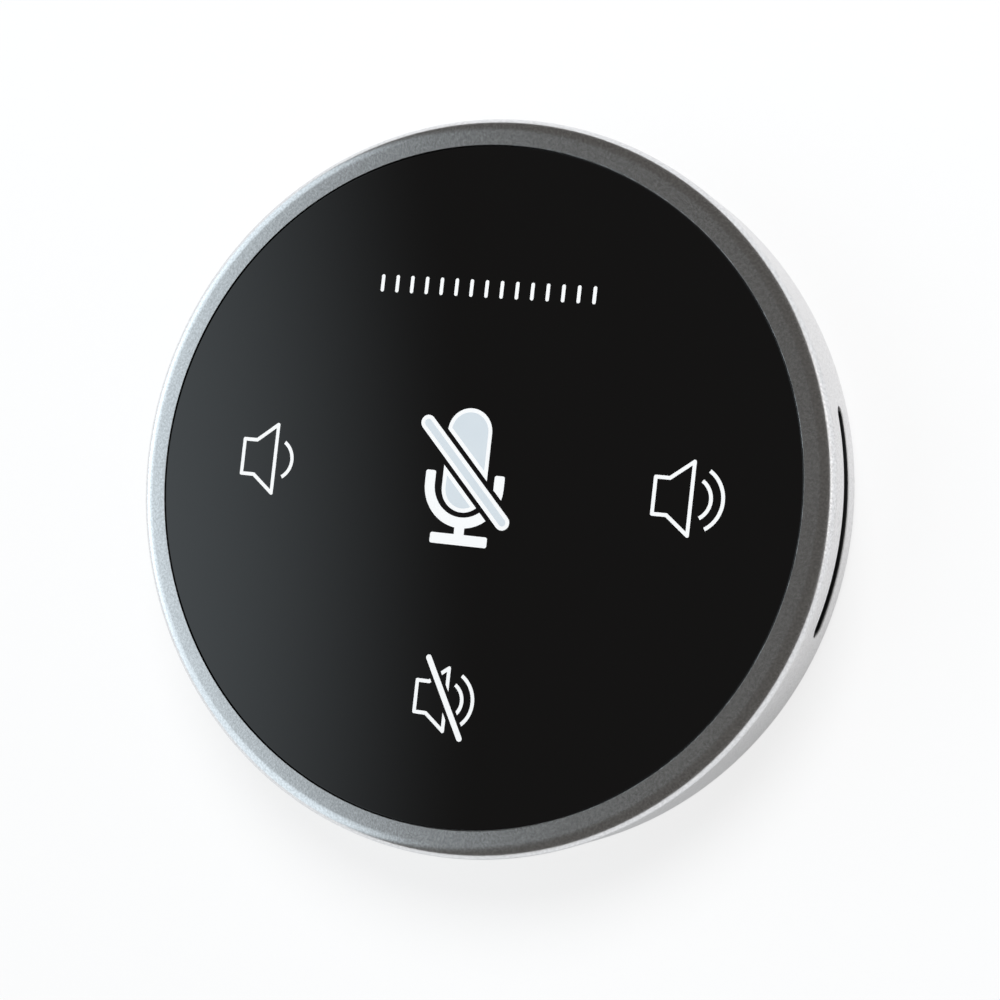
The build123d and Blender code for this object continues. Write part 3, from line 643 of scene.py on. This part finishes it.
def make_housing():
    """Turns the ring, adds its screw bosses and cuts its slots and the USB opening."""
    edge_middle = rim_top - rim_edge_radius
    base_middle = rim_base + base_edge_radius
    outline = [(inner_radius + cover_rebate, rim_base)]
    outline += corner(outer_radius - base_edge_radius, base_middle, base_edge_radius, -90, 0, 6)
    outline += corner(outer_radius - rim_edge_radius, edge_middle, rim_edge_radius, 0, 90, 16)
    outline += corner(pocket_radius + pocket_edge, rim_top - pocket_edge, pocket_edge, 90, 180, 3)
    outline += [
        (pocket_radius, ledge_top),
        (ledge_radius, ledge_top),
        (ledge_radius, ledge_base),
        (inner_radius, ledge_base),
        (inner_radius, cover_seat),
        (inner_radius + cover_rebate, cover_seat),
    ]
    housing = turned_piece("housing_ring_turned", outline, aluminium)
    turns = [radians(turn) for turn in boss_turns]
    spots = [(boss_ring * cos(turn), boss_ring * sin(turn)) for turn in turns]
    bosses = upright("bosses", spots, boss_radius, cover_seat, ledge_base + boss_sink)
    cut(housing, bosses, "UNION")
    hole_low, hole_high = cover_seat - cut_margin, cover_seat + boss_hole_depth
    cut(housing, upright("boss_holes", spots, boss_hole_radius, hole_low, hole_high))
    slot_middle = (screen_low.z + screen_high.z) / 2
    for sign in (1, -1):
        axis = Vector((sign, 0, 0))
        cut(housing, mouth_cutter("slot", slot_length, slot_height, slot_middle, axis))
    usb_width = usb_high.x - usb_low.x + 2 * usb_gap
    usb_height = usb_high.z - usb_low.z + 2 * usb_gap
    usb_middle = (usb_low.z + usb_high.z) / 2
    rear = Vector((0, 1, 0))
    cut(housing, mouth_cutter("usb_mouth", usb_width, usb_height, usb_middle, rear))
    smooth(housing)
    settle(housing, "housing", "housing_ring")


make_housing()


# --- Cover glass ---
def make_glass():
    """Turns the cover glass, with a small polished round along its top edge."""
    outline = [(0, glass_low.z), (glass_radius, glass_low.z)]
    outline += corner(glass_radius - glass_edge, glass_top - glass_edge, glass_edge, 0, 90, 5)
    outline += [(0, glass_top)]
    piece = turned_piece("touch_glass_polished", outline, glass)
    smooth(piece)
    settle(piece, "glass", "touch_glass")


make_glass()


# --- Marks: thin lit shapes on the glass, drawn in millimetres about each mark's own middle ---
def bar(start, end, width, corner_radius=None, steps=stroke_end_steps):
    """Returns the outline of a straight stroke; its ends are round unless a corner is given."""
    start, end = Vector(start), Vector(end)
    along = (end - start).normalized()
    across = Vector((-along.y, along.x))
    if corner_radius is None:
        radius, inset, side_step, sweep_angle, sides = width / 2, 0.0, 0.0, 180, ((-1, -90),)
    else:
        radius, inset, sweep_angle = corner_radius, corner_radius, 90
        side_step, sides = width / 2 - corner_radius, ((-1, -90), (1, 0))
    points = []
    for base, way in ((end, 1), (start, -1)):
        for side, first in sides:
            middle = base - along * way * inset + across * side * way * side_step
            for i in range(steps + 1):
                turn = radians(first + sweep_angle * i / steps)
                points.append(middle + (along * cos(turn) + across * sin(turn)) * way * radius)
    return points


def band(middle, radius, start, end, width):
    """Returns the outline of an arc stroke with square ends, its angles in degrees."""
    turns = [radians(start + (end - start) * i / arc_steps) for i in range(arc_steps + 1)]
    ways = [Vector((cos(t), sin(t))) for t in turns]
    outside = [Vector(middle) + way * (radius + width / 2) for way in ways]
    inside = [Vector(middle) + way * (radius - width / 2) for way in reversed(ways)]
    return outside + inside


def slabs(name, outlines, place, material, low, high):
    """Returns one closed slab for each outline, in one mesh."""
    bm = bmesh.new()
    for outline in outlines:
        ends = [
            [bm.verts.new((place[0] + p.x * MM, place[1] + p.y * MM, z)) for p in outline]
            for z in (low, high)
        ]
        for end in ends:
            bm.faces.new(end)
        count = len(outline)
        for i in range(count):
            j = (i + 1) % count
            bm.faces.new((ends[0][i], ends[0][j], ends[1][j], ends[1][i]))
    return new_piece(name, bm, material)


# A stroke far off the glass: a mark that is cut with it only has its own strokes joined.
far_stroke = bar((900, 0), (901, 0), 1)


def make_mark(name, outlines, place, material, clear=None, added=None, lift=0.0):
    """Joins strokes into one mark, clears a band through them and adds the stroke in the band."""
    low, high = glass_top - print_sink, glass_top + print_height + lift
    piece = slabs(name, outlines, place, material, low, high)
    cutter = slabs("clear", [clear or far_stroke], place, None, low - cut_margin, high + cut_margin)
    cut(piece, cutter, own_overlaps=True)
    if added:
        cut(piece, slabs("added", [added], place, material, low, high), "UNION")
    smooth(piece)
    settle(piece, "diffuser")


def speaker(size, arcs):
    """Returns the strokes of a speaker and its sound arcs, the mouth line's middle at (0, 0)."""
    back, shoulder = speaker_back * size, speaker_shoulder * size
    half_back, half_mouth = speaker_half_back * size, speaker_half_mouth * size
    outline = [
        (back, half_back),
        (shoulder, half_back),
        (0, half_mouth),
        (0, -half_mouth),
        (shoulder, -half_back),
        (back, -half_back),
    ]
    strokes = [bar(a, b, mark_line) for a, b in zip(outline, outline[1:] + outline[:1])]
    for radius in arcs:
        strokes.append(band(sound_middle, radius * size, -sound_turn, sound_turn, mark_line))
    return strokes


def pill(width):
    """Returns the round-ended body of the microphone mark."""
    top, bottom = [(microphone_axis, height) for height in pill_ends]
    return bar(top, bottom, width, steps=pill_end_steps)


def microphone():
    """Returns the pill, yoke, stem and stand of the microphone mark, its middle at (0, 0)."""
    yoke = band((microphone_axis, yoke_middle), yoke_radius, 180, 360, microphone_line)
    strokes = [pill(pill_width), yoke]
    for x, ends in (
        (microphone_axis - yoke_radius, yoke_ends),
        (microphone_axis + yoke_radius, yoke_ends),
        (microphone_axis, stem_ends),
    ):
        strokes.append(bar((x, ends[0]), (x, ends[1]), microphone_line, microphone_corner))
    left, right = [(microphone_axis + way * stand_half, stand_height) for way in (-1, 1)]
    strokes.append(bar(left, right, microphone_line, microphone_corner))
    return strokes


def make_microphone_mark():
    """Makes the slashed microphone: a white edge, and a slightly darker core inside it."""
    cleared_width = microphone_slash_width + 2 * microphone_slash_gap
    make_mark(
        "mark_microphone_mute",
        microphone(),
        (0, 0),
        lit_edge,
        bar(*microphone_slash, cleared_width),
        bar(*microphone_slash, microphone_slash_width),
    )
    make_mark(
        "mark_microphone_core",
        [pill(pill_width - 2 * core_inset)],
        (0, 0),
        lit_core,
        bar(*microphone_slash, cleared_width + 2 * core_inset),
        bar(*microphone_slash, microphone_slash_width - 2 * core_inset),
        lift=print_height / 3,
    )


def make_key_marks():
    """Makes the marks of the three keys: volume down, volume up and speaker mute."""
    volume_reach = glass_radius - key_inset
    mute_reach = glass_radius - mute_key_inset
    left = (volume_down_shift - volume_reach, key_lift)
    right = (volume_reach + volume_up_shift, key_lift)
    make_mark("mark_volume_down", speaker(1.0, volume_down_arcs), left, lit_edge)
    make_mark("mark_volume_up", speaker(1.0, volume_up_arcs), right, lit_edge)
    make_mark(
        "mark_speaker_mute",
        speaker(mute_key_size, mute_key_arcs),
        (mute_key_shift[0], mute_key_shift[1] - mute_reach),
        lit_edge,
        bar(*mute_key_slash, mute_key_slash_width + 2 * mute_key_slash_gap),
        bar(*mute_key_slash, mute_key_slash_width),
    )


def level_scale_tree():
    """Builds the tree that sets a row of equal upright ticks, the plain level scale."""
    inputs = {
        "Tick": "Geometry",
        "Count": "Int",
        "Pitch": "Float",
        "Reach": "Float",
        "Finish": "Material",
    }
    tree, given = start_tree("level_scale", inputs, "Scale")
    first = given["Count"]
    for operation, second in (("ADD", -1), ("MULTIPLY", given["Pitch"]), ("MULTIPLY", -0.5)):
        first = add_node(tree, "ShaderNodeMath", {0: first, 1: second}, operation=operation).outputs[0]
    start = add_node(tree, "ShaderNodeCombineXYZ", {"X": first, "Y": given["Reach"]}).outputs[0]
    step = add_node(tree, "ShaderNodeCombineXYZ", {"X": given["Pitch"]}).outputs[0]
    inputs = {"Count": given["Count"], "Start Location": start, "Offset": step}
    line = add_node(tree, "GeometryNodeMeshLine", inputs).outputs[0]
    inputs = {"Points": line, "Instance": given["Tick"]}
    ticks = add_node(tree, "GeometryNodeInstanceOnPoints", inputs).outputs[0]
    end_tree(tree, ticks, given["Finish"], "Scale")
    return tree


def make_level_scale():
    """Makes one tick and repeats it along the level scale."""
    low, high = glass_top - print_sink, glass_top + print_height
    half = (scale_tick_length - mark_line) / 2
    tick = bar((0, -half), (0, half), mark_line)
    scale = slabs("mark_level_scale", [tick], (0, 0), None, low, high)
    values = {
        "Count": scale_ticks,
        "Pitch": scale_pitch,
        "Reach": glass_radius - scale_inset,
        "Finish": lit_edge,
    }
    run_tree(scale, level_scale_tree(), values)
    smooth(scale)
    settle(scale, "diffuser")


make_microphone_mark()
make_key_marks()
make_level_scale()


# --- Woven wire screens behind the sound slots ---
def woven_tree():
    """Builds the tree that weaves two sets of wires flat and wraps them round the ring's wall."""
    inputs = {"Base": "Geometry"}
    for measure in ("Length", "Height", "Pitch", "Wire Radius", "Wrap Radius", "Middle", "Turn"):
        inputs[measure] = "Float"
    inputs["Finish"] = "Material"
    tree, given = start_tree("woven_screen", inputs, "Screen")
    pitch = given["Pitch"]

    def wires(run, stack, along, across, side):
        """One set of wires along one axis, stacked along the other; side sets whether a wire
        first passes over or under."""
        ends = []
        for way in (-1, 1):
            inputs = {0: run, 1: way / 2}
            reach = add_node(tree, "ShaderNodeMath", inputs, operation="MULTIPLY").outputs[0]
            ends.append(add_node(tree, "ShaderNodeCombineXYZ", {along: reach}).outputs[0])
        wire = add_node(tree, "GeometryNodeCurvePrimitiveLine", {"Start": ends[0], "End": ends[1]})
        count = run
        for operation, second in (("DIVIDE", pitch), ("MULTIPLY", wire_points), ("ADD", 1)):
            inputs = {0: count, 1: second}
            count = add_node(tree, "ShaderNodeMath", inputs, operation=operation).outputs[0]
        inputs = {"Curve": wire.outputs[0], "Count": count}
        fine = add_node(tree, "GeometryNodeResampleCurve", inputs, mode="COUNT").outputs[0]
        gaps = add_node(tree, "ShaderNodeMath", {0: stack, 1: pitch}, operation="DIVIDE").outputs[0]
        gaps = add_node(tree, "ShaderNodeMath", {0: gaps}, operation="ROUND").outputs[0]
        first = gaps
        for second in (pitch, -0.5):
            inputs = {0: first, 1: second}
            first = add_node(tree, "ShaderNodeMath", inputs, operation="MULTIPLY").outputs[0]
        inputs = {
            "Count": add_node(tree, "ShaderNodeMath", {0: gaps, 1: 1}, operation="ADD").outputs[0],
            "Start Location": add_node(tree, "ShaderNodeCombineXYZ", {across: first}).outputs[0],
            "Offset": add_node(tree, "ShaderNodeCombineXYZ", {across: pitch}).outputs[0],
        }
        row = add_node(tree, "GeometryNodeMeshLine", inputs).outputs[0]
        inputs = {"Points": row, "Instance": fine}
        placed = add_node(tree, "GeometryNodeInstanceOnPoints", inputs).outputs[0]
        real = add_node(tree, "GeometryNodeRealizeInstances", {"Geometry": placed}).outputs[0]
        spot = add_node(tree, "GeometryNodeInputPosition").outputs[0]
        spot = add_node(tree, "ShaderNodeSeparateXYZ", {0: spot}).outputs
        rise = spot[0]
        for operation, second in (
            ("ADD", spot[1]),
            ("DIVIDE", pitch),
            ("MULTIPLY", pi),
            ("COSINE", 0.0),
            ("MULTIPLY", given["Wire Radius"]),
            ("MULTIPLY", side),
        ):
            inputs = {0: rise, 1: second}
            rise = add_node(tree, "ShaderNodeMath", inputs, operation=operation).outputs[0]
        rise = add_node(tree, "ShaderNodeCombineXYZ", {"Z": rise}).outputs[0]
        bent = add_node(tree, "GeometryNodeSetPosition", {"Geometry": real, "Offset": rise}).outputs[0]
        inputs = {"Resolution": wire_facets, "Radius": given["Wire Radius"]}
        section = add_node(tree, "GeometryNodeCurvePrimitiveCircle", inputs).outputs[0]
        inputs = {"Curve": bent, "Profile Curve": section, "Fill Caps": True}
        return add_node(tree, "GeometryNodeCurveToMesh", inputs).outputs[0]

    sets = [
        wires(given["Length"], given["Height"], "X", "Y", 1.0),
        wires(given["Height"], given["Length"], "Y", "X", -1.0),
    ]
    cloth = add_node(tree, "GeometryNodeJoinGeometry")
    for wire_set in sets:
        tree.links.new(wire_set, cloth.inputs[0])
    spot = add_node(tree, "GeometryNodeInputPosition").outputs[0]
    spot = add_node(tree, "ShaderNodeSeparateXYZ", {0: spot}).outputs
    inputs = {0: spot[0], 1: given["Wrap Radius"]}
    angle = add_node(tree, "ShaderNodeMath", inputs, operation="DIVIDE").outputs[0]
    inputs = {0: angle, 1: given["Turn"]}
    angle = add_node(tree, "ShaderNodeMath", inputs, operation="ADD").outputs[0]
    inputs = {0: spot[2], 1: given["Wrap Radius"]}
    radius = add_node(tree, "ShaderNodeMath", inputs, operation="ADD").outputs[0]
    inputs = {0: spot[1], 1: given["Middle"]}
    place = {"Z": add_node(tree, "ShaderNodeMath", inputs, operation="ADD").outputs[0]}
    for axis, operation in (("X", "COSINE"), ("Y", "SINE")):
        share = add_node(tree, "ShaderNodeMath", {0: angle}, operation=operation).outputs[0]
        inputs = {0: radius, 1: share}
        place[axis] = add_node(tree, "ShaderNodeMath", inputs, operation="MULTIPLY").outputs[0]
    wrapped = add_node(tree, "ShaderNodeCombineXYZ", place).outputs[0]
    inputs = {"Geometry": cloth.outputs[0], "Position": wrapped}
    placed = add_node(tree, "GeometryNodeSetPosition", inputs).outputs[0]
    end_tree(tree, placed, given["Finish"], "Screen")
    return tree


def make_screens():
    """Weaves the two screens. The real cloth is finer; its pitch is drawn wide enough to show."""
    tree = woven_tree()
    wrap = screen_high.x - weave_reach
    values = {
        "Length": 2 * wrap * asin(screen_high.y / screen_high.x),
        "Height": screen_high.z - screen_low.z - 2 * weave_wire_radius,
        "Pitch": weave_pitch,
        "Wire Radius": weave_wire_radius,
        "Wrap Radius": wrap,
        "Middle": (screen_low.z + screen_high.z) / 2,
        "Finish": finishes["screen"],
    }
    for side, turn in (("right", 0.0), ("left", pi)):
        bm = bmesh.new()
        bm.verts.new((0, 0, 0))
        screen = new_piece(f"woven_screen_{side}", bm)
        run_tree(screen, tree, {**values, "Turn": turn})
        smooth(screen, wire_crisp_angle)
        settle(screen, "screen", f"acoustic_mesh_{side}")


make_screens()


# --- Rubber foot ring ---
def make_foot():
    """Turns the foot ring, its lower edges rounded and three fine grip grooves in its face."""
    outer = foot_high.x
    inner = outer - foot_width
    outline = [(inner, foot_high.z)]
    outline += corner(inner + foot_edge, foot_edge, foot_edge, 180, 270, 6)
    for share in grip_places:
        middle = inner + foot_width * share
        outline += [
            (middle - grip_width / 2, 0),
            (middle - grip_width / 4, grip_depth),
            (middle + grip_width / 4, grip_depth),
            (middle + grip_width / 2, 0),
        ]
    outline += corner(outer - foot_edge, foot_edge, foot_edge, 270, 360, 6)
    outline += [(outer, foot_high.z)]
    piece = turned_piece("foot_ring_moulded", outline, rubber, foot_facets)
    smooth(piece)
    settle(piece, "rubber", "foot_ring")


make_foot()


# --- Cover, screws and USB socket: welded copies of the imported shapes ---
def weld_copy(name, node, slot):
    """Copies a node's mesh, welds it, frees its flat faces of seams and shades it smooth."""
    bm = bmesh.new()
    bm.from_mesh(frame["nodes"][node].data)
    bmesh.ops.remove_doubles(bm, verts=bm.verts, dist=copy_weld)
    bmesh.ops.dissolve_limit(bm, angle_limit=radians(flat_angle), verts=bm.verts, edges=bm.edges)
    mesh = bpy.data.meshes.new(name)
    bm.to_mesh(mesh)
    bm.free()
    mesh.materials.append(finishes[slot])
    piece = bpy.data.objects.new(name, mesh)
    scene.collection.objects.link(piece)
    smooth(piece)
    settle(piece, slot, node)


weld_copy("bottom_cover_moulded", "bottom_cover", "cover")
weld_copy("bottom_screws_plated", "bottom_screws", "screw")
weld_copy("usb_shell_drawn", "usb_shell", "shell")
weld_copy("usb_insert_moulded", "usb_insert", "connector")


# --- Floor, light and surroundings ---
floor_reach = 3.0
overhead_place = (0.08, 0.66, 0.85)
overhead_size = 0.6
overhead_power = 9.6
room_light = (0.105, 0.1, 0.094)

# Softboxes round the table: azimuth and elevation of the middle and half width, in degrees, how
# soft the edge is, light, and colour. A large one and its brighter core stand on the left by a cool
# window, and a low one on the right lights the wall of the ring but not its top.
softboxes = (
    (187.0, 14.0, 54.5, 0.15, 1.03, "#E9F7FF"),
    (177.0, 14.0, 30.0, 0.16, 0.72, "#E9F7FF"),
    (16.0, -14.0, 33.0, 0.036, 1.15, "#FFFFFF"),
)


def add_floor():
    """Lays the pale floor that the foot stands on."""
    bm = bmesh.new()
    bmesh.ops.create_grid(bm, x_segments=4, y_segments=4, size=floor_reach)
    floor = new_piece("studio_floor", bm, studio_floor())


def add_overhead():
    """Hangs a large soft lamp above and behind that lights matt surfaces at a plain level."""
    lamp = bpy.data.lights.new("overhead_softbox", "AREA")
    lamp.shape = "DISK"
    lamp.size = overhead_size
    lamp.energy = overhead_power
    holder = bpy.data.objects.new("overhead_softbox", lamp)
    holder.location = overhead_place
    holder.rotation_euler = Vector(overhead_place).to_track_quat("Z", "Y").to_euler()
    holder.visible_glossy = False
    scene.collection.objects.link(holder)


def add_surroundings():
    """Lights the room: a dim studio with softboxes, and plain white where the camera looks past
    the floor."""
    world = bpy.data.worlds.new("studio")
    world.use_nodes = True
    scene.world = world
    tree = world.node_tree
    way = add_node(tree, "ShaderNodeTexCoord").outputs["Generated"]
    light = room_light
    for azimuth, elevation, half_width, softness, level, colour in softboxes:
        around, up = radians(azimuth), radians(elevation)
        middle = (cos(around) * cos(up), sin(around) * cos(up), sin(up))
        facing = add_node(tree, "ShaderNodeVectorMath", {0: way, 1: middle}, operation="DOT_PRODUCT")
        edge = cos(radians(half_width))
        inputs = {"Value": facing.outputs["Value"], "From Min": edge, "From Max": edge + softness}
        ramp = add_node(tree, "ShaderNodeMapRange", inputs, interpolation_type="SMOOTHSTEP")
        strength = [part * level for part in linear(colour)[:3]]
        inputs = {0: ramp.outputs["Result"], 1: strength, 2: light}
        glow = add_node(tree, "ShaderNodeVectorMath", inputs, operation="MULTIPLY_ADD")
        light = glow.outputs["Vector"]
    rays = add_node(tree, "ShaderNodeLightPath").outputs
    inputs = {0: seen_by_eye(tree, rays), 6: light, 7: linear("#FFFFFF")}
    shown = add_node(tree, "ShaderNodeMix", inputs, data_type="RGBA").outputs[2]
    tree.links.new(shown, tree.nodes["Background"].inputs["Color"])


add_floor()
add_overhead()
add_surroundings()
scene.view_settings.view_transform = "Standard"
